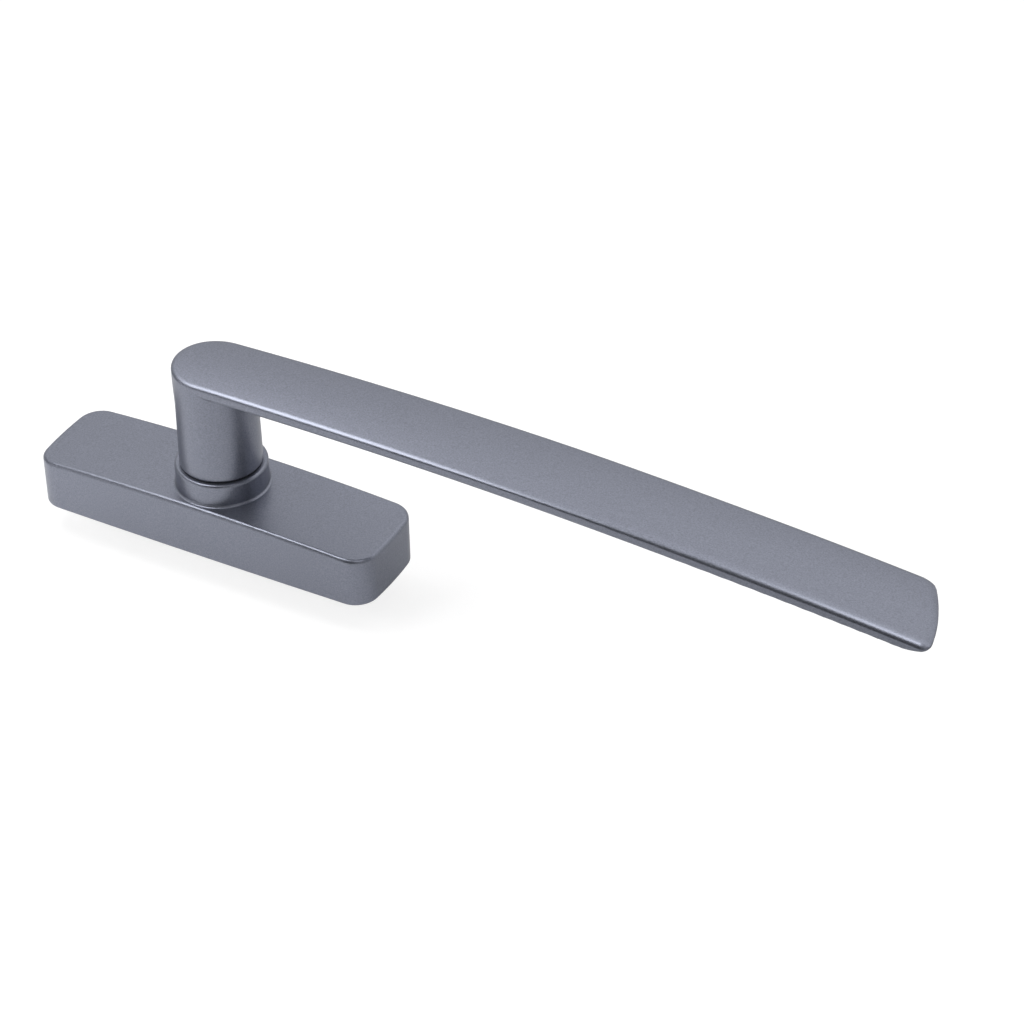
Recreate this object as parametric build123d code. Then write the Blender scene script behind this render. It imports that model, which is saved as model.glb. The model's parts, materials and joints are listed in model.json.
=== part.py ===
from build123d import *
import os
from math import acos, atan, cos, degrees, pi, radians, sin, sqrt, tan

# A cremone handle for a casement window, in millimetres.
# Its lever turns a pinion, and the pinion drives two racks, whose pins move the window's rods.
# The origin is on the mounting face, on the lever's turning axis. +Z leaves the window,
# and +X runs along the base and the resting lever.

# Base cover, a die casting with a bowed outline and an arched roof
base_half_length = 50.3
base_half_width = 13.95
base_end_bow = 0.9
base_side_bow = 0.3
base_corner = 6.4
base_height = 15.4
base_crown = 1.5
base_top_edge = 1.0
base_bottom_edge = 0.4
base_wall = 2.0
base_roof = 2.4
cavity_corner = 4.0

# Collar cast on the roof, around the lever's neck
collar_rim_radius = 12.1
collar_foot_radius = 12.15
collar_height = 22.05
collar_rim_round = 0.7
collar_foot_blend = 0.65
collar_foot_land = 0.06
collar_root_depth = 0.45
bearing_wall = 1.4
bearing_boss_depth = 0.8

# Lever casting: a flat crowned blade on a round neck
lever_length = 197.6
lever_end_radius = 10.83
lever_mid_half_width = 11.86
lever_tip_half_width = 12.2
lever_top = 52.25
lever_rise = 0.0228
lever_droop = 0.000328
blade_cross_radius = 100.0
blade_thickness_root = 4.45
blade_thickness_tip = 3.4
blade_top_edge = 1.3
blade_bottom_edge = 1.6
tip_slant = 4.5
tip_bow = 1.7
tip_front_corner = 3.2
tip_back_corner = 4.5
neck_bottom_radius = 10.8
neck_top_radius = 10.6
neck_fillet = 2.5
neck_bottom_edge = 0.25
journal_radius = 7.0

# Bush and washers that carry the journal
bush_wall = 1.2
bush_flange_radius = 10.3
bush_flange = 0.25
running_clearance = 0.05
thrust_washer_thickness = 0.6
thrust_washer_radius = 9.0
spring_washer_thickness = 0.3
spring_washer_height = 0.75
washer_clearance = 0.05

# Square spindle
spindle_width = 6.0
spindle_grip = 20.0
spindle_end_gap = 0.2

# Pinion and racks
gear_module = 1.0
pinion_teeth = 12
pressure_angle = radians(20)
pinion_addendum = 0.9
rack_addendum = 0.7
gear_tip_gap = 0.25
gear_backlash = 0.12
rack_teeth = 11
rack_side_clearance = 0.1
rack_slide_clearance = 0.1
rack_end_margin = 1.0
pinion_lower_hub = 1.2
pinion_lower_hub_radius = 4.8
pinion_upper_hub = 1.8
pinion_upper_hub_radius = 5.1

# Drive pins, riveted in the racks' arms
drive_pin_radius = 3.0
drive_pin_reach = 8.5
drive_pin_chamfer = 0.5
drive_pin_collar_radius = 3.6
drive_pin_collar_reach = 0.5
drive_pin_tenon_radius = 2.2
arm_half_width = 3.9
lever_swing = radians(90)

# Back plate and its screws
plate_thickness = 2.5
plate_edge_clearance = 0.15
plate_corner = 3.8
slot_clearance = 0.2
slot_web = 1.375
plate_screw_end_distance = 6.7
plate_screw_side_distance = 5.55
plate_screw_radius = 1.45
plate_screw_head_radius = 2.75
plate_screw_length = 8.0
plate_boss_radius = 2.9
screw_socket_radius = 1.1
screw_socket_depth = 0.9
screw_head_recess = 0.1

# Threaded fixing posts, tapped from behind, set in from the base's ends
fixing_end_distance = 8.3
fixing_hole_radius = 2.1
fixing_hole_depth = 11.0
fixing_post_radius = 3.8
fixing_post_clearance = 0.1

# Detent: a notched disc held by two sprung balls in a moulded cage
disc_radius = 9.6
disc_thickness = 2.4
notch_depth = 0.7
notch_clearance = 0.15
ball_radius = 1.75
ball_gap = 0.3
cage_clearance = 0.1
cage_roof_clearance = 0.05
cage_corner = 1.0
cage_disc_clearance = 0.3
ball_bore_clearance = 0.1
spring_wire_radius = 0.25
spring_turns = 4
spring_length = 9.0
spring_clearance = 0.1

# Screw and washer that hold the pinion on the spindle
pinion_screw_radius = 1.5
pinion_screw_head_radius = 2.8
pinion_screw_head = 0.8
pinion_screw_length = 8.0
pinion_socket_radius = 1.4
pinion_socket_depth = 0.6
pinion_washer_radius = 4.5
pinion_washer_thickness = 0.5

# How far a cutter or a root reaches past the face it meets
overreach = 1.0

# Heights in the base: the bearing stack hangs from the roof, and the racks stand on the plate.
# The gears' face takes what is left between them.
bush_bottom = base_height - base_roof - bearing_boss_depth
thrust_bottom = bush_bottom - thrust_washer_thickness
disc_top = thrust_bottom - spring_washer_height - washer_clearance
disc_bottom = disc_top - disc_thickness
disc_middle = disc_bottom + disc_thickness / 2
rack_top = disc_bottom - pinion_upper_hub
rack_bottom = plate_thickness + rack_slide_clearance
gear_face = rack_top - rack_bottom
pinion_bottom = rack_bottom - pinion_lower_hub
neck_bottom = collar_height + bush_flange + washer_clearance

# Lengths and widths in the base
cavity_half_length = base_half_length - base_end_bow - base_wall
cavity_half_width = base_half_width - base_side_bow - base_wall
fixing_distance = base_half_length - fixing_end_distance
plate_screw_x = base_half_length - plate_screw_end_distance
plate_screw_y = base_half_width - plate_screw_side_distance
bush_radius = journal_radius + running_clearance + bush_wall
boss_radius = bush_radius + bearing_wall
cage_hole_radius = max(disc_radius + cage_disc_clearance, boss_radius + cage_clearance)
ball_centre = disc_radius + ball_gap + ball_radius
ball_bore_radius = ball_radius + ball_bore_clearance
spring_radius = ball_bore_radius - spring_clearance - spring_wire_radius
spring_start = ball_centre + sqrt((ball_radius + spring_wire_radius) ** 2 - spring_radius**2)
ball_bore_end = spring_start + spring_length + spring_wire_radius

# Gear sizes
pitch_radius = gear_module * pinion_teeth / 2
base_circle = pitch_radius * cos(pressure_angle)
pinion_tip_radius = pitch_radius + pinion_addendum * gear_module
pinion_root_radius = pitch_radius - (rack_addendum + gear_tip_gap) * gear_module
tooth_thickness = (pi * gear_module - gear_backlash) / 2
rack_pitch = pi * gear_module
rack_travel = pitch_radius * lever_swing

# Each drive pin's slot ends a web short of its fixing post
slot_half_width = drive_pin_collar_radius + slot_clearance
slot_end = fixing_distance - fixing_post_radius - fixing_post_clearance - slot_web
drive_pin_distance = slot_end - slot_half_width - rack_travel

arch_radius = (base_half_length**2 + base_crown**2) / (2 * base_crown)
lean = atan((4 * lever_mid_half_width - 3 * lever_end_radius - lever_tip_half_width) / lever_length)


def under_arch(shape, crown_height):
    """Keep what lies under the lengthwise arch whose crown has the given height."""
    radius = arch_radius - base_height + crown_height
    drum = Pos(0, 0, crown_height - radius) * Rot(90, 0, 0) * Cylinder(radius, 4 * base_half_width)
    return shape & drum


def upright(radius, bottom, top, x=0.0, y=0.0):
    """A cylinder along Z, from one height to another."""
    return Pos(x, y, bottom) * extrude(Circle(radius), top - bottom)


def ring(outer_radius, inner_radius, bottom, top):
    return upright(outer_radius, bottom, top) - upright(inner_radius, bottom, top)


def square_bar(bottom, top):
    """The spindle's square section, from one height to another."""
    return Pos(0, 0, bottom) * extrude(Rectangle(spindle_width, spindle_width), top - bottom)


def facing(shape, side):
    """The shape's largest face that looks up, or down for a side of -1."""
    return shape.faces().filter_by(lambda face: side * face.normal_at().Z > 0.9).sort_by(SortBy.AREA)[-1]


def base_outline():
    """The base's plan: bowed sides and ends with rounded corners."""
    x = base_half_length - base_end_bow
    y = base_half_width - base_side_bow
    sides = [
        ThreePointArc((-x, -y), (0, -base_half_width), (x, -y)),
        ThreePointArc((x, -y), (base_half_length, 0), (x, y)),
        ThreePointArc((x, y), (0, base_half_width), (-x, y)),
        ThreePointArc((-x, y), (-base_half_length, 0), (-x, -y)),
    ]
    outline = make_face(sides)
    return fillet(outline.vertices(), base_corner)


def collar():
    """The collar's turned outside, with a rounded rim and a flared foot on the roof."""
    foot = base_height - collar_root_depth
    step_radius = collar_foot_radius + collar_foot_blend + collar_foot_land
    profile = make_face(
        Polyline(
            (0, foot),
            (step_radius, foot),
            (step_radius, base_height),
            (collar_foot_radius, base_height),
            (collar_rim_radius, collar_height),
            (0, collar_height),
            (0, foot),
        )
    )
    inner_corner = profile.vertices().sort_by(Axis.Y)[2:4].sort_by(Axis.X)[0]
    profile = fillet(inner_corner, collar_foot_blend)
    rim = profile.vertices().sort_by(Axis.Y)[-2:].sort_by(Axis.X)[-1]
    profile = fillet(rim, collar_rim_round)
    return revolve(Plane.XZ * profile, Axis.Z)


def base_cover():
    """The cover: shell, collar, bearing boss, fixing posts and screw bosses in one casting."""
    outside = under_arch(extrude(base_outline(), base_height), base_height)
    outside = fillet(facing(outside, 1).edges(), base_top_edge)
    outside = fillet(facing(outside, -1).edges(), base_bottom_edge)

    inside = extrude(
        RectangleRounded(2 * cavity_half_length, 2 * cavity_half_width, cavity_corner),
        base_height,
    )
    inside = under_arch(inside, base_height - base_roof)
    roof_middle = base_height - base_roof / 2
    columns = upright(boss_radius, bush_bottom, roof_middle)
    for x_side in (-1, 1):
        columns += upright(fixing_post_radius, 0, roof_middle, x_side * fixing_distance)
        for y_side in (-1, 1):
            columns += upright(
                plate_boss_radius,
                plate_thickness,
                roof_middle,
                x_side * plate_screw_x,
                y_side * plate_screw_y,
            )
    cover = outside - (inside - columns) + collar()

    cover -= upright(bush_radius, bush_bottom - overreach, collar_height + overreach)
    for x_side in (-1, 1):
        cover -= upright(fixing_hole_radius, -overreach, fixing_hole_depth, x_side * fixing_distance)
        for y_side in (-1, 1):
            cover -= upright(
                plate_screw_radius,
                0,
                screw_head_recess + plate_screw_length,
                x_side * plate_screw_x,
                y_side * plate_screw_y,
            )
    return cover


def back_plate():
    """The plate that closes the base, with a bearing hole, two slots and countersunk holes."""
    plate = extrude(
        RectangleRounded(
            2 * (cavity_half_length - plate_edge_clearance),
            2 * (cavity_half_width - plate_edge_clearance),
            plate_corner,
        ),
        plate_thickness,
    )
    cut_top = plate_thickness + overreach
    plate -= upright(pinion_lower_hub_radius + running_clearance, -overreach, cut_top)
    slot = SlotCenterToCenter(2 * rack_travel, 2 * slot_half_width)
    for x_side in (-1, 1):
        plate -= Pos(x_side * drive_pin_distance, 0, -overreach) * extrude(slot, cut_top + overreach)
        plate -= upright(
            fixing_post_radius + fixing_post_clearance,
            -overreach,
            cut_top,
            x_side * fixing_distance,
        )
        for y_side in (-1, 1):
            plate -= Pos(x_side * plate_screw_x, y_side * plate_screw_y, 0) * screw_blank()
    return plate


def screw_blank():
    """A countersunk screw's outside, head down, also used to cut its seat."""
    cone = plate_screw_head_radius - plate_screw_radius
    profile = Polyline(
        (0, 0),
        (plate_screw_head_radius, 0),
        (plate_screw_head_radius, screw_head_recess),
        (plate_screw_radius, screw_head_recess + cone),
        (plate_screw_radius, screw_head_recess + plate_screw_length),
        (0, screw_head_recess + plate_screw_length),
        (0, 0),
    )
    return revolve(Plane.XZ * make_face(profile), Axis.Z)


def plate_screw(x, y):
    """One countersunk screw with a hexagon socket, its head just under the plate's face."""
    screw = screw_blank() - upright(plate_screw_head_radius + overreach, 0, screw_head_recess)
    socket = extrude(RegularPolygon(screw_socket_radius, 6), screw_head_recess + screw_socket_depth)
    return Pos(x, y, 0) * (screw - socket)


def blade_height(x):
    """Height of the blade's crowned top above the mounting face."""
    return lever_top + lever_rise * x - lever_droop * x**2


def blade_outline():
    """The blade's plan: round end on the axis, spreading sides and a slanted, bowed tip."""
    start_x = -lever_end_radius * sin(lean)
    start_y = lever_end_radius * cos(lean)
    middle = (lever_length / 2, lever_mid_half_width)
    back_x = lever_length - tip_bow - tip_slant
    front_x = lever_length - tip_bow + tip_slant
    width = lever_tip_half_width
    sides = [
        ThreePointArc((start_x, start_y), (-lever_end_radius, 0), (start_x, -start_y)),
        ThreePointArc((start_x, -start_y), (middle[0], -middle[1]), (front_x, -width)),
        ThreePointArc((front_x, -width), (lever_length, 0), (back_x, width)),
        ThreePointArc((back_x, width), middle, (start_x, start_y)),
    ]
    outline = make_face(sides)
    corners = outline.vertices().sort_by(Axis.X)[-2:].sort_by(Axis.Y)
    outline = fillet(corners[0], tip_front_corner)
    back_corner = outline.vertices().sort_by_distance((back_x, width))[0]
    return fillet(back_corner, tip_back_corner)


def crowned_drum():
    """A slice of a barrel, whose skin is the blade's top, arched along it and bowed across it."""
    arch = 1 / (2 * lever_droop)
    apex_x = lever_rise * arch
    apex_z = blade_height(apex_x)
    half_width = 2 * lever_tip_half_width
    shoulder = apex_z - blade_cross_radius + sqrt(blade_cross_radius**2 - half_width**2)
    section = make_face(
        [
            ThreePointArc((-half_width, shoulder), (0, apex_z), (half_width, shoulder)),
            Line((half_width, shoulder), (half_width, 0)),
            Line((half_width, 0), (-half_width, 0)),
            Line((-half_width, 0), (-half_width, shoulder)),
        ]
    )
    turning_axis = Axis((apex_x, 0, apex_z - arch), (0, 1, 0))
    swing = degrees(2 * lever_length / arch)
    drum = revolve(Plane.YZ.offset(apex_x) * section, turning_axis, swing)
    return drum.rotate(turning_axis, -swing / 2)


def blade():
    """The plan cut by the underside and the crowned top, with its edges rounded."""
    near = -lever_end_radius - overreach
    far = lever_length + tip_slant + overreach
    middle = (near + far) / 2
    taper = (blade_thickness_tip - blade_thickness_root) / lever_length

    def underside(x):
        return blade_height(x) - blade_thickness_root - taper * x

    ceiling = lever_top + lever_tip_half_width
    side_view = [
        Line((near, ceiling), (far, ceiling)),
        Line((far, ceiling), (far, underside(far))),
        ThreePointArc((far, underside(far)), (middle, underside(middle)), (near, underside(near))),
        Line((near, underside(near)), (near, ceiling)),
    ]
    slab = extrude(Plane.XZ * make_face(side_view), 2 * lever_tip_half_width, both=True)
    slab &= extrude(blade_outline(), 2 * lever_top)
    slab &= crowned_drum()
    slab = fillet(facing(slab, -1).edges(), blade_bottom_edge)
    return fillet(facing(slab, 1).edges(), blade_top_edge)


def lever():
    """Blade, neck and journal in one casting, with a square socket for the spindle."""
    neck_top = lever_top - blade_thickness_root / 2
    neck = Pos(0, 0, (neck_bottom + neck_top) / 2) * Cone(
        neck_bottom_radius, neck_top_radius, neck_top - neck_bottom
    )
    neck = fillet(neck.edges().sort_by(Axis.Z)[0], neck_bottom_edge)
    casting = blade() + neck
    neck_side = casting.faces().filter_by(GeomType.CONE).sort_by(SortBy.AREA)[-1]
    seam = neck_side.edges().filter_by(lambda edge: (edge @ 0).Z > (neck_bottom + neck_top) / 2)
    seam = seam.filter_by(lambda edge: (edge @ 1).Z > (neck_bottom + neck_top) / 2)
    casting = fillet(seam, neck_fillet)
    casting += upright(journal_radius, disc_top, neck_bottom + overreach)
    return casting - square_bar(disc_top - overreach, disc_top + spindle_grip)


def spindle():
    """The square steel spindle, pressed in the lever and tapped at its lower end."""
    bar = square_bar(pinion_bottom + spindle_end_gap, disc_top + spindle_grip)
    return bar - upright(pinion_screw_radius, 0, pinion_bottom + pinion_screw_length)


def collar_bush():
    """The flanged moulded bush between collar and journal."""
    inner_radius = journal_radius + running_clearance
    bush = ring(bush_radius, inner_radius, bush_bottom, collar_height)
    return bush + ring(bush_flange_radius, inner_radius, collar_height, collar_height + bush_flange)


def thrust_washer():
    return ring(thrust_washer_radius, journal_radius + running_clearance, thrust_bottom, bush_bottom)


def spring_washer():
    """A curved spring washer: a ring cut from a thin sheet bent about Y."""
    bow = spring_washer_height - spring_washer_thickness
    inner_bend = (thrust_washer_radius**2 + bow**2) / (2 * bow)
    outer_bend = inner_bend + spring_washer_thickness
    crown = disc_top + spring_washer_height
    bend = Pos(0, 0, crown - outer_bend) * Rot(90, 0, 0)
    sheet_width = 3 * thrust_washer_radius
    sheet = bend * (Cylinder(outer_bend, sheet_width) - Cylinder(inner_bend, sheet_width))
    blank = ring(
        thrust_washer_radius - washer_clearance,
        journal_radius + running_clearance,
        disc_top,
        crown,
    )
    return blank & sheet


def flank_angle(radius):
    """Half the angle that a pinion tooth fills at a radius on its involute flank."""

    def involute(at_radius):
        angle = acos(base_circle / at_radius)
        return tan(angle) - angle

    return tooth_thickness / 2 / pitch_radius + involute(pitch_radius) - involute(radius)


def pinion_outline():
    """Involute teeth with radial roots under the base circle, and a gap facing each rack."""
    steps = 4
    radii = [
        base_circle + (pinion_tip_radius - base_circle) * step / steps for step in range(steps + 1)
    ]

    def point(radius, angle):
        return (radius * cos(angle), radius * sin(angle))

    edges = []
    pitch_angle = 2 * pi / pinion_teeth
    for tooth in range(pinion_teeth):
        middle = pi / 2 + (tooth + 0.5) * pitch_angle
        rising = [point(radius, middle - flank_angle(radius)) for radius in radii]
        falling = [point(radius, middle + flank_angle(radius)) for radius in reversed(radii)]
        root_half = flank_angle(base_circle)
        root_start = point(pinion_root_radius, middle - root_half)
        root_end = point(pinion_root_radius, middle + root_half)
        next_start = point(pinion_root_radius, middle + pitch_angle - root_half)
        edges += [
            Line(root_start, rising[0]),
            Spline(rising),
            ThreePointArc(rising[-1], point(pinion_tip_radius, middle), falling[0]),
            Spline(falling),
            Line(falling[-1], root_end),
            ThreePointArc(root_end, point(pinion_root_radius, middle + pitch_angle / 2), next_start),
        ]
    return make_face(edges)


def pinion():
    """The pinion with a hub that runs in the back plate and a hub that carries the disc."""
    gear = Pos(0, 0, rack_bottom) * extrude(pinion_outline(), gear_face)
    gear += upright(pinion_lower_hub_radius, pinion_bottom, rack_bottom)
    gear += upright(pinion_upper_hub_radius, rack_top, disc_bottom)
    return gear - square_bar(pinion_bottom, disc_bottom)


def index_disc():
    """The detent's disc, with a notch at each quarter turn."""
    disc = upright(disc_radius, disc_bottom, disc_top)
    notch_radius = ball_radius + notch_clearance
    notch_centre = disc_radius - notch_depth + notch_radius
    for quarter in range(4):
        notch = upright(notch_radius, disc_bottom, disc_top, notch_centre)
        disc -= Rot(0, 0, 90 * quarter) * notch
    return disc - square_bar(disc_bottom, disc_top)


def pinion_washer():
    return ring(
        pinion_washer_radius,
        pinion_screw_radius,
        pinion_bottom - pinion_washer_thickness,
        pinion_bottom,
    )


def pinion_screw():
    """The pan-head screw under the pinion, with a hexagon socket."""
    head_top = pinion_bottom - pinion_washer_thickness
    head_bottom = head_top - pinion_screw_head
    screw = upright(pinion_screw_head_radius, head_bottom, head_top)
    screw += upright(pinion_screw_radius, head_top, pinion_bottom + pinion_screw_length)
    socket = Pos(0, 0, head_bottom) * extrude(
        RegularPolygon(pinion_socket_radius, 6), pinion_socket_depth
    )
    return screw - socket


def rack():
    """The rack on the +Y side, whose arm reaches the centre line on the +X side."""
    tip_y = pitch_radius - rack_addendum * gear_module
    root_y = pitch_radius + (pinion_addendum + gear_tip_gap) * gear_module
    back_y = cavity_half_width - rack_side_clearance
    tip_half = tooth_thickness / 2 - rack_addendum * gear_module * tan(pressure_angle)
    root_half = tooth_thickness / 2 + (root_y - pitch_radius) * tan(pressure_angle)
    reach = (rack_teeth - 1) / 2
    start_x = -reach * rack_pitch - root_half - rack_end_margin
    arm_end_x = drive_pin_distance + arm_half_width
    points = [(start_x, back_y), (start_x, root_y)]
    for tooth in range(rack_teeth):
        middle = (tooth - reach) * rack_pitch
        points += [
            (middle - root_half, root_y),
            (middle - tip_half, tip_y),
            (middle + tip_half, tip_y),
            (middle + root_half, root_y),
        ]
    points += [(arm_end_x, root_y), (arm_end_x, back_y), (start_x, back_y)]
    outline = make_face(Polyline(points))
    outline += Pos(drive_pin_distance, back_y / 2) * Rectangle(2 * arm_half_width, back_y)
    outline += Pos(drive_pin_distance, 0) * Circle(arm_half_width)
    outline -= Pos(drive_pin_distance, 0) * Circle(drive_pin_tenon_radius)
    return Pos(0, 0, rack_bottom) * extrude(outline, gear_face)


def drive_pin():
    """The +X drive pin: tenon in the rack's arm, collar in the slot and free end behind."""
    profile = Polyline(
        (0, -drive_pin_reach),
        (drive_pin_radius - drive_pin_chamfer, -drive_pin_reach),
        (drive_pin_radius, -drive_pin_reach + drive_pin_chamfer),
        (drive_pin_radius, -drive_pin_collar_reach),
        (drive_pin_collar_radius, -drive_pin_collar_reach),
        (drive_pin_collar_radius, rack_bottom),
        (drive_pin_tenon_radius, rack_bottom),
        (drive_pin_tenon_radius, rack_top),
        (0, rack_top),
        (0, -drive_pin_reach),
    )
    return Pos(drive_pin_distance, 0, 0) * revolve(Plane.XZ * make_face(profile), Axis.Z)


def detent_cage():
    """The moulded cage that fills the base over the racks and guides balls and springs."""
    half_length = fixing_distance - fixing_post_radius - cage_clearance
    half_width = cavity_half_width - cage_clearance
    bottom = rack_top + rack_slide_clearance
    cage = Pos(0, 0, bottom) * extrude(
        RectangleRounded(2 * half_length, 2 * half_width, cage_corner), base_height
    )
    cage = under_arch(cage, base_height - base_roof - cage_roof_clearance)
    cage -= upright(cage_hole_radius, 0, base_height)
    bore = Pos(0, 0, disc_middle) * Rot(0, 90, 0) * extrude(Circle(ball_bore_radius), ball_bore_end)
    return cage - bore - Rot(0, 0, 180) * bore


def detent_ball():
    return Pos(ball_centre, 0, disc_middle) * Sphere(ball_radius)


def detent_spring():
    """A coil spring of six-sided wire, from the ball's back to the end of its bore."""
    path = Helix(spring_length / spring_turns, spring_length, spring_radius)
    section = Plane(path @ 0, z_dir=path % 0) * RegularPolygon(spring_wire_radius, 6)
    coil = sweep(section, path=path, is_frenet=True)
    return Pos(spring_start, 0, disc_middle) * Rot(0, 90, 0) * coil


def left(shape):
    """The same piece on the other side of the turning axis."""
    return Rot(0, 0, 180) * shape


pieces = {
    "base_cover": base_cover(),
    "back_plate": back_plate(),
    "collar_bush": collar_bush(),
    "thrust_washer": thrust_washer(),
    "spring_washer": spring_washer(),
    "lever": lever(),
    "spindle": spindle(),
    "index_disc": index_disc(),
    "pinion": pinion(),
    "pinion_washer": pinion_washer(),
    "pinion_screw": pinion_screw(),
    "rack_right": rack(),
    "rack_left": left(rack()),
    "drive_pin_right": drive_pin(),
    "drive_pin_left": left(drive_pin()),
    "detent_cage": detent_cage(),
    "detent_ball_right": detent_ball(),
    "detent_ball_left": left(detent_ball()),
    "detent_spring_right": detent_spring(),
    "detent_spring_left": left(detent_spring()),
}
for number, (x_side, y_side) in enumerate([(-1, -1), (1, -1), (1, 1), (-1, 1)], start=1):
    pieces[f"plate_screw_{number}"] = plate_screw(x_side * plate_screw_x, y_side * plate_screw_y)

os.makedirs("parts", exist_ok=True)
for name, piece in pieces.items():
    piece.label = name
    export_step(piece, f"parts/{name}.step")
    print(name, round(piece.volume, 2))
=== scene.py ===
# %% [markdown]
# # A cremone window handle in satin metallic lacquer
# The handle is a die-cast base with a round collar, and a lever that is one casting: a long flat
# blade on a round neck. Behind the base two steel pins slide and drive the window's rods.
# The measured solids are loaded first as a fixed frame. This script gives them their finishes,
# lays a skin with softer edges over the lever, and sets up the camera, the floor and the light.

# %% Load the measured frame
import json
from math import cos, radians, sin

import bpy
import numpy as np
from mathutils import Matrix, Vector


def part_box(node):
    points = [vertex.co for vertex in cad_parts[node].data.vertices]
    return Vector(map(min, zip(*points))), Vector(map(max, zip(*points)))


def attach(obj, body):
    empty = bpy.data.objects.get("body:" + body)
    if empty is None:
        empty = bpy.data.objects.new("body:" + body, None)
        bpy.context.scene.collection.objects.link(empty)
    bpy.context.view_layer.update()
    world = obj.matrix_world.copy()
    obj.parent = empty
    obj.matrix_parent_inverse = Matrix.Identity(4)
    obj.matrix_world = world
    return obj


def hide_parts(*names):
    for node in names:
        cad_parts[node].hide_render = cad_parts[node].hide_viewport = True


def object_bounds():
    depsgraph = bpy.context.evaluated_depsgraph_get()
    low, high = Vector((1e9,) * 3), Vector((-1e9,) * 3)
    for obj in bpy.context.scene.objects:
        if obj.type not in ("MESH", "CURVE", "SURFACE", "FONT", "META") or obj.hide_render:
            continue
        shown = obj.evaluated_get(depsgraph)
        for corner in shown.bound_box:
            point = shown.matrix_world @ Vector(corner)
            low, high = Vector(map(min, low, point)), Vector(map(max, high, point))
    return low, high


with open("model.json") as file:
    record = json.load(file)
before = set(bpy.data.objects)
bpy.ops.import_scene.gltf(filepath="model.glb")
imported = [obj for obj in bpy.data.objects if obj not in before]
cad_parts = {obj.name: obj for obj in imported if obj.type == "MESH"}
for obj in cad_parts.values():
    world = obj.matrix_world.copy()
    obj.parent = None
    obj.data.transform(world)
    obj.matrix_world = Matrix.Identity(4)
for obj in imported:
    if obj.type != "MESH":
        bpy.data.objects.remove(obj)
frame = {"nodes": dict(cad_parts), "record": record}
cad_box = [list(corner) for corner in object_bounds()]
nodes = frame["nodes"]
MM = 0.001
print(len(nodes), "solids, overall size in mm:",
      [round((high - low) / MM, 1) for low, high in zip(*cad_box)])

# %% [markdown]
# ## Reading the frame's sizes
# What stands beside the solids takes its place from their boxes and not from numbers typed twice.
# The floor lies under the ends of the two drive pins, because they reach lower than anything
# else. The lengths of base and lever are printed, to compare with the measures used further on.

# %% Sizes read from the solids
base_low, base_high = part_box("base_cover")
lever_low, lever_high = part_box("lever")
floor_height = cad_box[0][2]
print("base length", round((base_high.x - base_low.x) / MM, 2), "mm, lever length",
      round((lever_high.x - lever_low.x) / MM, 2), "mm, floor at",
      round(floor_height / MM, 2), "mm")

# %% [markdown]
# ## The camera
# The photograph was taken with a long lens from the front, a little to the right and from above.
# A camera in Blender looks along its own -Z with +Y up, so its matrix is made from the viewing
# direction and turned about that direction by the small tilt that the photograph has.

# %% Camera direction
VIEW_TURN = radians(29.124)
VIEW_RISE = radians(37.255)
VIEW_TILT = radians(-1.048)

towards_camera = Vector((
    sin(VIEW_TURN) * cos(VIEW_RISE),
    -cos(VIEW_TURN) * cos(VIEW_RISE),
    sin(VIEW_RISE),
))
level_right = Vector((cos(VIEW_TURN), sin(VIEW_TURN), 0))
level_up = towards_camera.cross(level_right)
right = level_right * cos(VIEW_TILT) + level_up * sin(VIEW_TILT)
up = towards_camera.cross(right)
print("direction to the camera", [round(v, 3) for v in towards_camera])

# %% Camera
VIEW_DISTANCE = 860 * MM
VIEW_CENTRE = Vector((79.19, 10.75, 25.26)) * MM
LENS, SENSOR_WIDTH = 121.1, 36
NEAREST_SEEN = 10 * MM

camera_data = bpy.data.cameras.new("camera")
camera_data.lens = LENS
camera_data.sensor_width = SENSOR_WIDTH
camera_data.clip_start = NEAREST_SEEN
camera = bpy.data.objects.new("camera", camera_data)
bpy.context.scene.collection.objects.link(camera)
turn = Matrix((right, up, towards_camera)).transposed().to_4x4()
camera.matrix_world = Matrix.Translation(VIEW_CENTRE + towards_camera * VIEW_DISTANCE) @ turn
bpy.context.scene.camera = camera
bpy.context.scene.view_settings.view_transform = "Standard"
print("camera at", [round(v, 3) for v in camera.matrix_world.translation])

# %% [markdown]
# ## Helpers for materials
# A material is a graph of nodes. A few short helpers keep each recipe readable: one adds a node
# with its settings, one links two sockets, and two make an empty group and an empty material.

# %% Node helpers
def add(tree, kind, values=None, **settings):
    """Add a node, set its properties, and set its input sockets by name or number."""
    node = tree.nodes.new(kind)
    for key, value in settings.items():
        setattr(node, key, value)
    for key, value in (values or {}).items():
        node.inputs[key].default_value = value
    return node


def join(tree, source, target):
    """Link (node, output) to (node, input)."""
    tree.links.new(source[0].outputs[source[1]], target[0].inputs[target[1]])


def multiply(tree, first, second):
    """The product of two nodes' first outputs."""
    product = add(tree, "ShaderNodeMath", operation="MULTIPLY")
    join(tree, (first, 0), (product, 0))
    join(tree, (second, 0), (product, 1))
    return product


print("helpers ready:", add.__name__, join.__name__, multiply.__name__)

# %% Empty groups and materials
def new_group(name, inputs, outputs):
    """A shader node group with named sockets; returns the tree and its two end nodes."""
    tree = bpy.data.node_groups.new(name, "ShaderNodeTree")
    for title, kind, value in inputs:
        socket = tree.interface.new_socket(title, in_out="INPUT", socket_type=kind)
        socket.default_value = value
    for title, kind in outputs:
        tree.interface.new_socket(title, in_out="OUTPUT", socket_type=kind)
    return tree, tree.nodes.new("NodeGroupInput"), tree.nodes.new("NodeGroupOutput")


def empty_material(name):
    """A material with an empty node tree."""
    material = bpy.data.materials.new(name)
    material.use_nodes = True
    material.node_tree.nodes.clear()
    return material, material.node_tree


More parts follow.
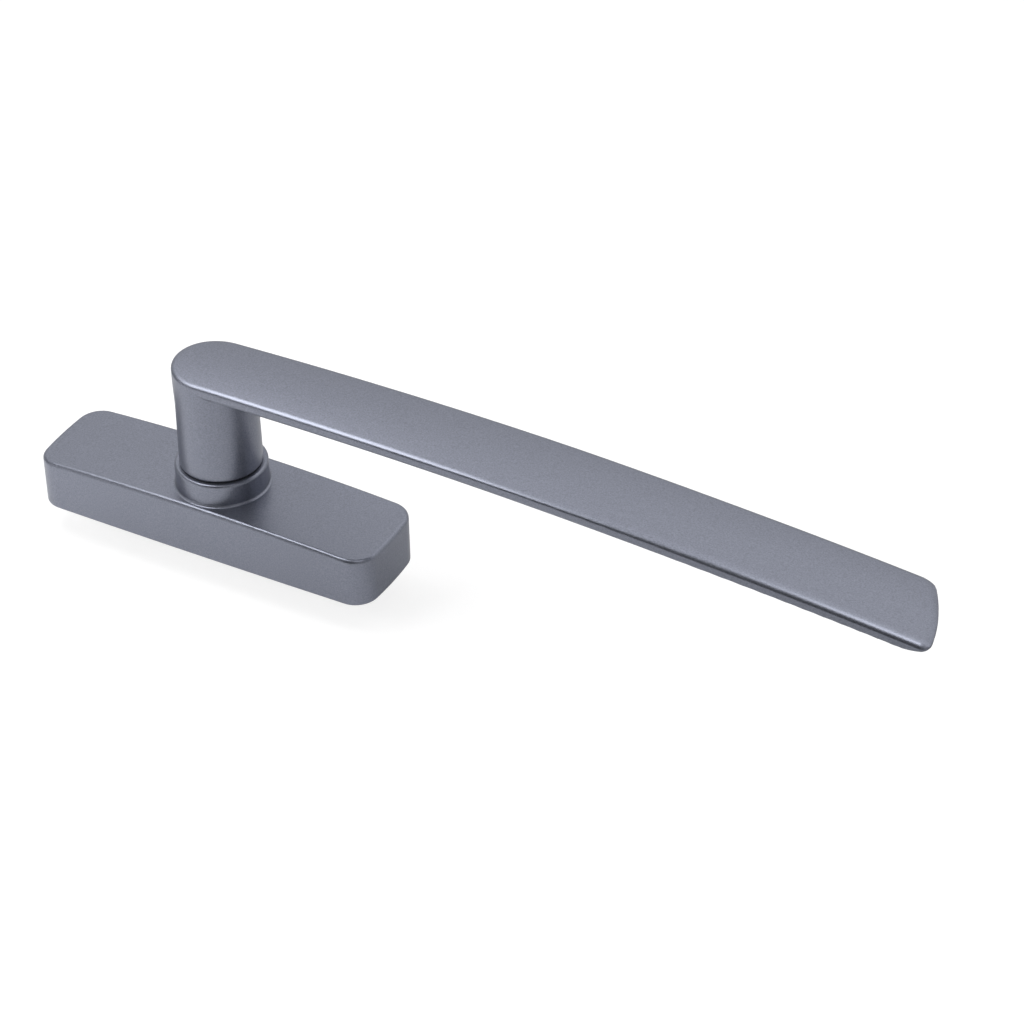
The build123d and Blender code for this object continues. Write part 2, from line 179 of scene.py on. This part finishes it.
def new_material(name):
    """A material with its shader; returns the material, its tree and the shader."""
    material, tree = empty_material(name)
    shader = add(tree, "ShaderNodeBsdfPrincipled")
    join(tree, (shader, "BSDF"), (add(tree, "ShaderNodeOutputMaterial"), "Surface"))
    return material, tree, shader


print("helpers ready:", new_group.__name__, empty_material.__name__, new_material.__name__)

# %% [markdown]
# ## Grain that every finish shares
# Each finish here has something fine and random in it: metal flakes in the lacquer, grit on a
# casting, the dull bloom of zinc plating. One group makes it from noise in the object's own
# space, so that it needs no UV map and has the same size on every piece. It takes a colour and
# gives it back tinted, with two heights, a fine and a slow one, for bumps and roughness.

# %% Group: fine grain
CLOUDS_PER_METRE = 60.0


def swing(tree, noise, start, contrast):
    """A factor around 1 that swings with a noise, by a contrast given to the group."""
    centred = add(tree, "ShaderNodeMath", {1: 0.5}, operation="SUBTRACT")
    join(tree, (noise, "Fac"), (centred, 0))
    factor = add(tree, "ShaderNodeMath", {2: 1.0}, operation="MULTIPLY_ADD")
    join(tree, (centred, 0), (factor, 0))
    join(tree, (start, contrast), (factor, 1))
    return factor


def build_grain_group():
    """Noise at two sizes, as a tinted colour and as heights."""
    tree, start, end = new_group(
        "fine_grain",
        [("Color", "NodeSocketColor", (0.5, 0.5, 0.5, 1)),
         ("Grains per mm", "NodeSocketFloat", 3.0),
         ("Contrast", "NodeSocketFloat", 0.2),
         ("Cloud Contrast", "NodeSocketFloat", 0.05)],
        [("Color", "NodeSocketColor"), ("Height", "NodeSocketFloat"),
         ("Cloud", "NodeSocketFloat")],
    )
    place = add(tree, "ShaderNodeTexCoord")
    scale = add(tree, "ShaderNodeMath", {1: 1 / MM}, operation="MULTIPLY")
    join(tree, (start, "Grains per mm"), (scale, 0))
    grain = add(tree, "ShaderNodeTexNoise", {"Detail": 2.0, "Roughness": 0.7})
    join(tree, (place, "Object"), (grain, "Vector"))
    join(tree, (scale, 0), (grain, "Scale"))
    cloud = add(tree, "ShaderNodeTexNoise", {"Scale": CLOUDS_PER_METRE, "Detail": 3.0})
    join(tree, (place, "Object"), (cloud, "Vector"))

    swings = multiply(tree, swing(tree, grain, start, "Contrast"),
                      swing(tree, cloud, start, "Cloud Contrast"))
    tint = add(tree, "ShaderNodeMix", {"Factor": 1.0}, data_type="RGBA", blend_type="MULTIPLY")
    first_color, second_color, mixed_color = 6, 7, 2
    join(tree, (start, "Color"), (tint, first_color))
    join(tree, (swings, 0), (tint, second_color))
    join(tree, (tint, mixed_color), (end, "Color"))
    join(tree, (grain, "Fac"), (end, "Height"))
    join(tree, (cloud, "Fac"), (end, "Cloud"))
    return tree


grain_group = build_grain_group()
print("group fine_grain has", len(grain_group.nodes), "nodes")

# %% [markdown]
# ## Satin metallic lacquer
# Base and lever are sprayed with one blue-grey lacquer full of fine aluminium flakes and matted
# with a soft clear layer. Seen close up it is not one colour: single flakes catch the light. In
# Blender that is a partly metallic surface with a broad gloss, a fleck in its colour and
# roughness, and the faint unevenness of sprayed paint as a bump.

# %% Putting the grain to use
NOISE_LOW, NOISE_HIGH = 0.3, 0.7


def grained(tree, color, grains, contrast, cloud):
    """Place the grain group in a material with its own values."""
    group = add(tree, "ShaderNodeGroup", node_tree=grain_group)
    group.inputs["Color"].default_value = (*color, 1)
    group.inputs["Grains per mm"].default_value = grains
    group.inputs["Contrast"].default_value = contrast
    group.inputs["Cloud Contrast"].default_value = cloud
    return group


def rough_range(tree, source, low, high, shader):
    """Let the roughness follow a value that varies over the surface."""
    spread = add(tree, "ShaderNodeMapRange", {"From Min": NOISE_LOW, "From Max": NOISE_HIGH,
                                              "To Min": low, "To Max": high})
    join(tree, source, (spread, "Value"))
    join(tree, (spread, "Result"), (shader, "Roughness"))


def bumped(tree, source, depth, shader):
    """Turn a height into a bump of the given depth in metres."""
    bump = add(tree, "ShaderNodeBump", {"Strength": 1.0, "Distance": depth})
    join(tree, source, (bump, "Height"))
    join(tree, (bump, "Normal"), (shader, "Normal"))


print("helpers ready:", grained.__name__, rough_range.__name__, bumped.__name__)

# %% Material: lacquer
LACQUER_COLOR = (0.235, 0.248, 0.30)


def make_lacquer():
    """Flakes in the colour, the gloss and the relief of one metallic surface."""
    material, tree, shader = new_material("satin_metallic_lacquer")
    flakes = grained(tree, LACQUER_COLOR, grains=2.6, contrast=0.9, cloud=0.05)
    join(tree, (flakes, "Color"), (shader, "Base Color"))
    rough_range(tree, (flakes, "Height"), low=0.3, high=0.4, shader=shader)
    bumped(tree, (flakes, "Height"), depth=0.01 * MM, shader=shader)
    shader.inputs["Metallic"].default_value = 0.9
    return material


lacquer = make_lacquer()
print("made", lacquer.name)

# %% [markdown]
# ## Finishes of the works behind
# The pieces inside and behind the base are bare: cast zinc, zinc-plated steel, spring steel and
# two kinds of nylon. They show from behind and from below. Each gets the same grain group with
# other values. Its gloss follows the slow noise, as on plating that has dulled in places, and its
# relief follows the fine one.

# %% Materials: metals and nylons
def make_finish(name, color, metallic, rough, grains, contrast, cloud, depth):
    """A bare material; rough is the range of its roughness and depth its relief in mm."""
    material, tree, shader = new_material(name)
    group = grained(tree, color, grains, contrast, cloud)
    join(tree, (group, "Color"), (shader, "Base Color"))
    rough_range(tree, (group, "Cloud"), *rough, shader)
    bumped(tree, (group, "Height"), depth * MM, shader)
    shader.inputs["Metallic"].default_value = metallic
    return material


finishes = {
    "lacquered_casting": lacquer,
    "zinc_plate": make_finish("cast_zinc", (0.42, 0.43, 0.44), metallic=0.9, rough=(0.42, 0.6),
                              grains=1.2, contrast=0.25, cloud=0.3, depth=0.03),
    "black_nylon": make_finish("black_nylon", (0.03, 0.03, 0.034), metallic=0, rough=(0.4, 0.55),
                               grains=4, contrast=0.2, cloud=0.1, depth=0.01),
    "pale_nylon": make_finish("pale_nylon", (0.6, 0.58, 0.53), metallic=0, rough=(0.4, 0.55),
                              grains=3, contrast=0.06, cloud=0.06, depth=0.01),
    "plated_steel": make_finish("plated_steel", (0.56, 0.57, 0.6), metallic=1, rough=(0.24, 0.4),
                                grains=3, contrast=0.15, cloud=0.2, depth=0.006),
    "rack_steel": make_finish("blanked_steel", (0.47, 0.48, 0.5), metallic=1, rough=(0.3, 0.46),
                              grains=2, contrast=0.2, cloud=0.3, depth=0.01),
    "bright_steel": make_finish("bright_steel", (0.68, 0.69, 0.7), metallic=1, rough=(0.08, 0.16),
                                grains=5, contrast=0.05, cloud=0.05, depth=0.001),
    "spring_steel": make_finish("spring_steel", (0.32, 0.33, 0.35), metallic=1, rough=(0.25, 0.4),
                                grains=5, contrast=0.2, cloud=0.3, depth=0.003),
}
print("made", len(finishes), "finishes")

# %% Give each solid its finish
slot_of = {part["node"]: part["material_slot"] for part in frame["record"]["subparts"]}
for name, node in nodes.items():
    node.data.materials.clear()
    node.data.materials.append(finishes[slot_of[name]])
print("solids per finish:", {slot: list(slot_of.values()).count(slot) for slot in finishes})

# %% [markdown]
# ## The lever's soft edges
# The solid lever has one small radius round its top. On the real casting the edge is crisp near
# the neck and grows broader towards the tip, the front of the top leans forward near the neck and
# lies level at the tip, and the underside rises over the last few millimetres. That shape decides
# where the bright line and the dark line along the front edge lie, so the lever gets a new skin.
# Sculpting it by hand would leave dents, and a row of bevels can't change its width on the way.
# Here the skin is a formula: a number that is positive inside the metal, zero on its skin and
# negative outside. All measures in these cells are millimetres, as on the lever's drawing.

# %% Curves that the formula uses
def smooth_step(value, start, end):
    """0 before start, 1 after end, and an even change in between."""
    t = np.clip((value - start) / (end - start), 0, 1)
    return t * t * (3 - 2 * t)


def rounded_meeting(gap_a, gap_b, reach_a, reach_b):
    """How deep a point lies, up to reach_b, under two faces that meet in an elliptical edge.

    The gaps are the point's distances from the faces. The rounding starts at reach_a from face a
    and at reach_b from face b.
    """
    a = np.maximum(1 - gap_a / reach_a, 0)
    b = np.maximum(1 - gap_b / reach_b, 0)
    return reach_b * (1 - np.sqrt(a**2 + b**2))


print("on a 2 mm edge, the point 1 mm from both faces lies",
      round(float(rounded_meeting(1.0, 1.0, 2.0, 2.0)), 2), "mm deep")

# %% The blade's top
TOP_AT_AXIS, TOP_SLOPE_AT_AXIS, TOP_ARCH = 52.25, 0.0228, 0.000328
CROWN_RADIUS = 100.0
TIP_HALF_WIDTH = 12.2
FRONT_LIFT_ROOT, FRONT_LIFT_TIP = -0.45, 0.75
FRONT_LIFT_START, FRONT_LIFT_END = 20, 190


def top_height(x, y):
    """The crowned top: arched along the blade and bowed across it.

    Its front half is lower near the neck and lifted at the tip.
    """
    front_lift = (FRONT_LIFT_ROOT + (FRONT_LIFT_TIP - FRONT_LIFT_ROOT)
                  * smooth_step(x, FRONT_LIFT_START, FRONT_LIFT_END))
    bow = y**2 / (2 * CROWN_RADIUS) - front_lift * (np.minimum(y, 0) / TIP_HALF_WIDTH) ** 2
    return TOP_AT_AXIS + TOP_SLOPE_AT_AXIS * x - TOP_ARCH * x**2 - bow


print("the top's height above the axis:", round(float(top_height(0, 0)), 2), "mm")

# %% The blade's plan
LEVER_LENGTH = 197.45
END_RADIUS, MID_HALF_WIDTH = 10.83, 11.86
TIP_SLANT, TIP_BOW = 4.5, 1.7
FRONT_CORNER, BACK_CORNER = 2.8, 3.3


def plan_gaps(x, y):
    """Distances from the blade's outline and from its slanted end, positive inside.

    The first counts up to the corner's radius, and farther in it stays at that.
    """
    t = x / LEVER_LENGTH
    half_width = (END_RADIUS * (2 * t - 1) * (t - 1) + MID_HALF_WIDTH * 4 * t * (1 - t)
                  + TIP_HALF_WIDTH * t * (2 * t - 1))
    across = y / TIP_HALF_WIDTH
    end_x = LEVER_LENGTH - TIP_SLANT * across - TIP_BOW * across**2
    lean = (TIP_SLANT + 2 * TIP_BOW * across) / TIP_HALF_WIDTH
    end_gap = (end_x - x) / np.sqrt(1 + lean**2)
    corner = np.where(y < 0, FRONT_CORNER, BACK_CORNER)
    straight = rounded_meeting(half_width - np.abs(y), end_gap, corner, corner)
    return np.where(x < 0, END_RADIUS - np.hypot(x, y), straight), end_gap


print("half way along, 12 mm from the middle line, the gap inside the outline is",
      round(float(plan_gaps(LEVER_LENGTH / 2, 12)[0]), 2), "mm")

# %% The blade's edges and thickness
ROOT_THICKNESS, TIP_THICKNESS = 4.45, 3.4
TIP_RISE, TIP_RISE_LENGTH = 2.1, 8.5
EDGE_ROOT = (1.4, 0.65)
FRONT_EDGE_TIP = (2.8, 1.4)
BACK_EDGE_TIP = (1.9, 1.4)
EDGE_START, EDGE_END = 85, 150
SIDES_MEET = 4
LOWER_EDGE_ROOT, LOWER_EDGE_TIP = 1.6, 0.95
LOWER_EDGE_START, LOWER_EDGE_END = 60, 160
LEAST_BELOW_ROUNDING, LEAST_STRAIGHT_SIDE = 0.5, 0.05


def blade_depth(x, y, z):
    """How deep a point lies inside the blade, and how far inside its outline.

    Each upper edge is given as (inward, down): how far its rounding reaches from the side and
    from the top.
    """
    outline_gap, end_gap = plan_gaps(x, y)
    rise = np.clip(1 - end_gap / TIP_RISE_LENGTH, 0, 1)
    thickness = (ROOT_THICKNESS + (TIP_THICKNESS - ROOT_THICKNESS) * x / LEVER_LENGTH
                 - TIP_RISE * rise**2)
    top, bottom = top_height(x, y), top_height(x, 0 * y) - thickness

    to_front = smooth_step(-y, -SIDES_MEET, SIDES_MEET)
    to_tip = smooth_step(x, EDGE_START, EDGE_END)
    inward, down = (root + (back + (front - back) * to_front - root) * to_tip
                    for root, back, front in zip(EDGE_ROOT, BACK_EDGE_TIP, FRONT_EDGE_TIP))
    down = np.minimum(down, top - bottom - LEAST_BELOW_ROUNDING)
    lower = (LOWER_EDGE_ROOT + (LOWER_EDGE_TIP - LOWER_EDGE_ROOT)
             * smooth_step(x, LOWER_EDGE_START, LOWER_EDGE_END))
    lower = np.minimum(lower, top - bottom - down - LEAST_STRAIGHT_SIDE)
    return np.minimum(rounded_meeting(outline_gap, top - z, inward, down),
                      rounded_meeting(outline_gap, z - bottom, lower, lower)), outline_gap


print("a point 1 mm above the blade counts as",
      round(float(blade_depth(100, 0, top_height(100, 0) + 1)[0]), 2), "mm deep")

# %% The whole lever as one formula
NECK_BOTTOM, NECK_TOP = 22.35, 49.6
NECK_BOTTOM_RADIUS, NECK_WAIST_RADIUS = 10.8, 10.62
NECK_WAIST_HEIGHT, NECK_FULL_HEIGHT = 40, 48.5
NECK_FOOT_EDGE = 0.3
NECK_BLEND, FULL_BLEND_GAP, LEAST_BLEND_SHARE = 2.0, 3, 0.01


def lever_depth(x, y, z):
    """Blade and neck together, with a soft hollow where the neck meets the underside."""
    blade, outline_gap = blade_depth(x, y, z)
    neck_radius = (NECK_BOTTOM_RADIUS
                   + (NECK_WAIST_RADIUS - NECK_BOTTOM_RADIUS)
                   * smooth_step(z, NECK_BOTTOM, NECK_WAIST_HEIGHT)
                   + (END_RADIUS - NECK_WAIST_RADIUS)
                   * smooth_step(z, NECK_WAIST_HEIGHT, NECK_FULL_HEIGHT))
    neck = rounded_meeting(neck_radius - np.hypot(x, y), z - NECK_BOTTOM,
                           NECK_FOOT_EDGE, NECK_FOOT_EDGE)
    neck = np.minimum(neck, NECK_TOP - z)
    blend = NECK_BLEND * np.clip(outline_gap / FULL_BLEND_GAP, LEAST_BLEND_SHARE, 1)
    overlap = np.maximum(blend - np.abs(blade - neck), 0) / blend
    return np.maximum(blade, neck) + overlap**2 * blend / 4


print("inside the neck:", round(float(lever_depth(1, 1, 35)), 2),
      "mm, beside it:", round(float(lever_depth(0, -15, 35)), 2), "mm")

# %% [markdown]
# Now the solid is copied and remeshed into small even faces, and every point slides down the
# formula's slope until it lies on the skin. The journal and its square socket, which hide in the
# base, keep the solid's shape. The slope is also the exact direction that the skin faces, so it
# is stored as the shading normal, and the gloss runs over the faces without a ripple.

# %% Remesh a copy of the solid
GRID = 0.4


def even_copy(solid, name):
    """A mesh of small even faces over the shape of a solid."""
    source = bpy.data.objects.new("lever_copy", solid.data.copy())
    bpy.context.scene.collection.objects.link(source)
    even = source.modifiers.new("even", "REMESH")
    even.mode = "VOXEL"
    even.voxel_size = GRID * MM
    depsgraph = bpy.context.evaluated_depsgraph_get()
    mesh = bpy.data.meshes.new_from_object(source.evaluated_get(depsgraph))
    bpy.data.objects.remove(source)
    mesh.name = name
    return mesh


def read_vectors(vertices, what):
    """One vector of each vertex, as rows of an array."""
    values = np.empty(3 * len(vertices))
    vertices.foreach_get(what, values)
    return values.reshape(-1, 3)


lever_mesh = even_copy(nodes["lever"], "lever_skin")
print("even copy:", len(lever_mesh.polygons), "faces")

# %% Slide its points onto the skin
STEP = 0.01
ROUNDS, LONGEST_MOVE = 12, 0.5
LEAST_SLOPE_SQUARED, LEAST_LENGTH = 0.05, 1e-6
JOURNAL_RADIUS, BLADE_FROM = 9.3, 45


def slope_at(points):
    """The formula's slope, from small steps both ways along each axis."""
    columns = []
    for axis in range(3):
        step = np.zeros(3)
        step[axis] = STEP
        ahead, behind = (lever_depth(*(points + sign * step).T) for sign in (1, -1))
        columns.append((ahead - behind) / (2 * STEP))
    return np.stack(columns, axis=1)


points = read_vectors(lever_mesh.vertices, "co") / MM
normals = read_vectors(lever_mesh.vertices, "normal")
outer = (np.hypot(points[:, 0], points[:, 1]) > JOURNAL_RADIUS) | (points[:, 2] > BLADE_FROM)
moving = points[outer]
for _ in range(ROUNDS):
    slope = slope_at(moving)
    length_squared = np.maximum((slope**2).sum(axis=1), LEAST_SLOPE_SQUARED)
    move = -(lever_depth(*moving.T) / length_squared)[:, None] * slope
    moving += np.clip(move, -LONGEST_MOVE, LONGEST_MOVE)
slope = slope_at(moving)
points[outer] = moving
normals[outer] = -slope / np.maximum(np.linalg.norm(slope, axis=1), LEAST_LENGTH)[:, None]
print("farthest point from the formula:",
      round(float(np.abs(lever_depth(*moving.T)).max()), 4), "mm")

# %% Make the skin and let it ride on the lever
lever_mesh.vertices.foreach_set("co", (points * MM).ravel())
lever_mesh.update()
lever_mesh.shade_smooth()
lever_mesh.normals_split_custom_set_from_vertices(normals)
lever_mesh.materials.clear()
lever_mesh.materials.append(lacquer)
lever_skin = bpy.data.objects.new("lever_skin", lever_mesh)
bpy.context.scene.collection.objects.link(lever_skin)
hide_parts("lever")
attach(lever_skin, "lever")
print(lever_skin.name, "replaces the look of", nodes["lever"].name)

# %% [markdown]
# ## The floor
# The handle was photographed on pure white. A white floor would need hard light to reach full
# white, so the camera sees it lifted by emission instead, while the handle is lit by a pale floor
# colour. A pool of light is painted into that colour: it is a little paler close in front of the
# base than farther out, so that the base's front, which mirrors the near floor, is a little paler
# than the neck and the blade's side. From below the floor is clear, so the back can be looked at
# too.

# %% Material: floor
# Painted light: the floor's colour is paler round this point, a painted pool of light in front of
# the base.
PAINTED_POOL_CENTRE = (-0.02, -0.03, 0)
PAINTED_POOL_SHAPE = (0.5, 1, 0)
PAINTED_POOL_INNER, PAINTED_POOL_OUTER = 30 * MM, 90 * MM
PAINTED_POOL_TONE, FLOOR_TONE = 0.84, 0.62
SEEN_TONE, SEEN_LIFT = 0.3, 0.78


def painted_light_pool(tree):
    """The floor's tone with a painted pool of light: pale round one place, a little darker away.
    """
    place = add(tree, "ShaderNodeNewGeometry")
    offset = add(tree, "ShaderNodeVectorMath", {1: PAINTED_POOL_CENTRE}, operation="SUBTRACT")
    join(tree, (place, "Position"), (offset, 0))
    squeezed = add(tree, "ShaderNodeVectorMath", {1: PAINTED_POOL_SHAPE}, operation="MULTIPLY")
    join(tree, (offset, 0), (squeezed, 0))
    away = add(tree, "ShaderNodeVectorMath", operation="LENGTH")
    join(tree, (squeezed, 0), (away, 0))
    tone = add(tree, "ShaderNodeMapRange", {"From Min": PAINTED_POOL_INNER, "From Max": PAINTED_POOL_OUTER,
                                            "To Min": PAINTED_POOL_TONE, "To Max": FLOOR_TONE})
    join(tree, (away, "Value"), (tone, "Value"))
    return tone


def choose(tree, when, if_not, if_so):
    """One shader or another, by a value that is 0 or 1."""
    mix = add(tree, "ShaderNodeMixShader")
    join(tree, when, (mix, 0))
    join(tree, (if_not, 0), (mix, 1))
    join(tree, (if_so, 0), (mix, 2))
    return mix


def make_floor():
    """Pale with a painted pool of light for the handle's light, white for the camera, clear
    below.
    """
    material, tree = empty_material("pale_floor")
    surface = add(tree, "ShaderNodeBsdfDiffuse")
    # The floor's colour carries the painted pool of light.
    join(tree, (painted_light_pool(tree), "Result"), (surface, "Color"))
    shaded = add(tree, "ShaderNodeBsdfDiffuse", {"Color": (SEEN_TONE, SEEN_TONE, SEEN_TONE, 1)})
    lift = add(tree, "ShaderNodeEmission", {"Color": (1, 1, 1, 1), "Strength": SEEN_LIFT})
    seen = add(tree, "ShaderNodeAddShader")
    join(tree, (shaded, 0), (seen, 0))
    join(tree, (lift, 0), (seen, 1))
    path, facing = add(tree, "ShaderNodeLightPath"), add(tree, "ShaderNodeNewGeometry")
    from_above = choose(tree, (path, "Is Camera Ray"), surface, seen)
    both_sides = choose(tree, (facing, "Backfacing"), from_above,
                        add(tree, "ShaderNodeBsdfTransparent"))
    join(tree, (both_sides, 0), (add(tree, "ShaderNodeOutputMaterial"), "Surface"))
    return material


pale_floor = make_floor()
print("made", pale_floor.name, "with", len(pale_floor.node_tree.nodes), "nodes")

# %% Floor
FLOOR_HALF_SIZE = 6.0
FLOOR_CLEARANCE = 0.2 * MM
CORNERS = ((-1, -1), (1, -1), (1, 1), (-1, 1))

floor_mesh = bpy.data.meshes.new("floor")
floor_mesh.from_pydata([(x * FLOOR_HALF_SIZE, y * FLOOR_HALF_SIZE, 0) for x, y in CORNERS],
                       [], [(0, 1, 2, 3)])
floor_mesh.materials.append(pale_floor)
floor = bpy.data.objects.new("floor", floor_mesh)
floor.location.z = floor_height - FLOOR_CLEARANCE
bpy.context.scene.collection.objects.link(floor)
print("floor at", round(floor.location.z / MM, 2), "mm")

# %% [markdown]
# ## The room
# Satin metal shows little of its own: most of what the camera sees is the room around it. So the
# room is a picture of its own, pale behind and above, grey on both sides and almost black in
# front, because the dark front is what draws the dark line under each rounded edge. The camera
# itself sees plain white.

# %% World
def ramp(tree, split, axis, start, end, low, high):
    """A strength that changes smoothly with one coordinate of the direction."""
    change = add(tree, "ShaderNodeMapRange",
                 {"From Min": start, "From Max": end, "To Min": low, "To Max": high},
                 interpolation_type="SMOOTHSTEP")
    join(tree, (split, axis), (change, "Value"))
    return change


def make_room():
    """A world whose strength depends on the direction, and that the camera sees as white."""
    room = bpy.data.worlds.new("studio")
    room.use_nodes = True
    tree = room.node_tree
    tree.nodes.clear()
    split = add(tree, "ShaderNodeSeparateXYZ")
    join(tree, (add(tree, "ShaderNodeTexCoord"), "Generated"), (split, "Vector"))

    walls = ramp(tree, split, "Y", start=-0.5, end=0.5, low=0.05, high=0.9)
    right_wall = ramp(tree, split, "X", start=0.3, end=0.7, low=0, high=0.5)
    left_wall = ramp(tree, split, "X", start=-0.85, end=-0.5, low=0.5, high=0)
    for side_wall in (right_wall, left_wall):
        palest = add(tree, "ShaderNodeMath", operation="MAXIMUM")
        join(tree, (walls, 0), (palest, 0))
        join(tree, (side_wall, 0), (palest, 1))
        walls = palest
    upwards = ramp(tree, split, "Z", start=0.3, end=0.85, low=0.74, high=1.3)
    sideways = ramp(tree, split, "X", start=-0.6, end=0.2, low=0.94, high=1.12)
    strength = multiply(tree, multiply(tree, walls, upwards), sideways)

    around = add(tree, "ShaderNodeBackground", {"Color": (1, 1, 1, 1)})
    join(tree, (strength, 0), (around, "Strength"))
    white = add(tree, "ShaderNodeBackground", {"Color": (1, 1, 1, 1), "Strength": 1.0})
    path = add(tree, "ShaderNodeLightPath")
    shown = choose(tree, (path, "Is Camera Ray"), around, white)
    join(tree, (shown, 0), (add(tree, "ShaderNodeOutputWorld"), "Surface"))
    return room


bpy.context.scene.world = make_room()
print("made", bpy.context.scene.world.name)

# %% [markdown]
# ## The lamps
# Two small lamps stand close above and draw the bright lines along the upper edges. A faint low
# one on the left softens the dark line where it runs round the base. The last one lights the
# floor in front, whose reflection makes the upright sides pale; it is hidden from glossy rays,
# so that it draws no line of its own.

# %% Lamps
LINE_LAMP_HEIGHT = 0.33
LAMPS = {  # name: place, point aimed at, size, power in watts
    "lamp_over_base": ((-0.105, -0.0425, LINE_LAMP_HEIGHT), (-0.01, -0.01, 0.02),
                       (0.21, 0.135), 0.46),
    "lamp_over_tip": ((0.17, -0.02, LINE_LAMP_HEIGHT), (0.18, -0.01, 0.04), (0.09, 0.09), 0.13),
    "lamp_left_card": ((-0.14, -0.18, 0.09), (-0.02, -0.01, 0.03), (0.2, 0.14), 0.055),
    "lamp_floor": ((-0.4, -0.5, 0.4), (-0.05, -0.05, 0), (0.4, 0.4), 2.7),
}


def soft_lamp(name, place, aim, size, power):
    """A rectangular area lamp at a place, turned to aim at a point."""
    data = bpy.data.lights.new(name, "AREA")
    data.shape = "RECTANGLE"
    data.size, data.size_y = size
    data.energy = power
    lamp = bpy.data.objects.new(name, data)
    bpy.context.scene.collection.objects.link(lamp)
    lamp.location = place
    lamp.rotation_euler = (Vector(place) - Vector(aim)).to_track_quat("Z", "Y").to_euler()
    lamp.visible_camera = False
    return lamp


lamps = {name: soft_lamp(name, *values) for name, values in LAMPS.items()}
lamps["lamp_floor"].visible_glossy = False
print(len(lamps), "lamps")
